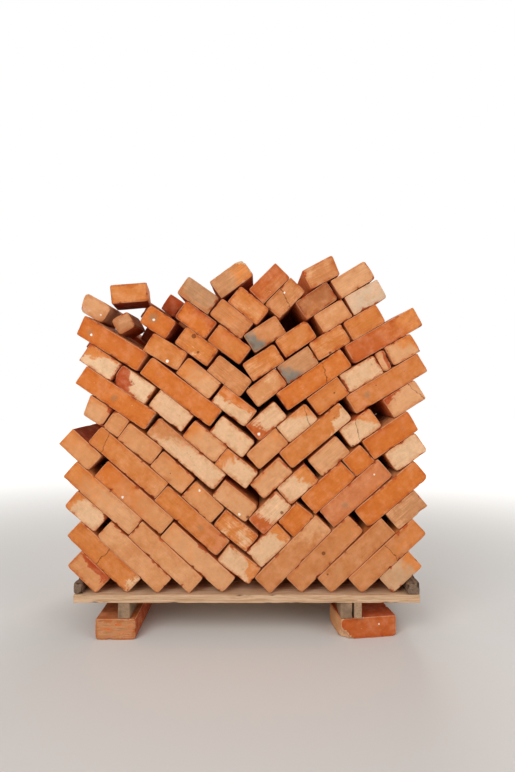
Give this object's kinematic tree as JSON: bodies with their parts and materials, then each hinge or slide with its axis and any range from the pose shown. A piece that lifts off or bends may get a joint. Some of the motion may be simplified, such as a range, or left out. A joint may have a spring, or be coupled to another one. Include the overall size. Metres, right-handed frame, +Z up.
{
  "type": "pallet of bricks",
  "caption": "Low timber pallet carrying solid clay bricks stacked in two mirrored sloping wings that interlock in a herringbone, standing on loose bricks.",
  "frame": {"origin": "middle of the footprint on the floor that the pallet stands on", "axes": "+X to the right along the pallet's long side, +Y from the front to the back, +Z up"},
  "size_m": [1.1074, 0.52, 1.1456],
  "materials": {
    "fired_clay": "matt fired clay, orange to cream, with dusty flashed faces and worn arrises",
    "sawn_wood": "rough sawn softwood, dry and dusty",
    "weathered_wood": "old split timber, grey-brown"
  },
  "bodies": {
    "root": {"deck_board_1": "sawn_wood", "deck_board_2": "sawn_wood", "deck_board_3": "sawn_wood", "deck_board_4": "sawn_wood", "deck_board_5": "sawn_wood", "left_course_01": "fired_clay", "left_course_02": "fired_clay", "left_course_03": "fired_clay", "left_course_04": "fired_clay", "left_course_05": "fired_clay", "left_course_06": "fired_clay", "left_course_07": "fired_clay", "left_course_08": "fired_clay", "left_course_09": "fired_clay", "left_course_10": "fired_clay", "left_course_11": "fired_clay", "left_course_12": "fired_clay", "left_course_13": "fired_clay", "left_course_14": "fired_clay", "left_course_15": "fired_clay", "left_runner": "sawn_wood", "left_stop_bar": "weathered_wood", "loose_leaning_bat": "fired_clay", "loose_level_brick": "fired_clay", "loose_tipped_bat": "fired_clay", "right_course_01": "fired_clay", "right_course_02": "fired_clay", "right_course_03": "fired_clay", "right_course_04": "fired_clay", "right_course_05": "fired_clay", "right_course_06": "fired_clay", "right_course_07": "fired_clay", "right_course_08": "fired_clay", "right_course_09": "fired_clay", "right_course_10": "fired_clay", "right_course_11": "fired_clay", "right_course_12": "fired_clay", "right_course_13": "fired_clay", "right_course_14": "fired_clay", "right_course_15": "fired_clay", "right_course_16": "fired_clay", "right_runner": "sawn_wood", "right_stop_bar": "weathered_wood", "split_runner": "sawn_wood", "support_back_left": "fired_clay", "support_back_right": "fired_clay", "support_bat": "fired_clay", "support_front_left": "fired_clay"}
  },
  "joints": []
}
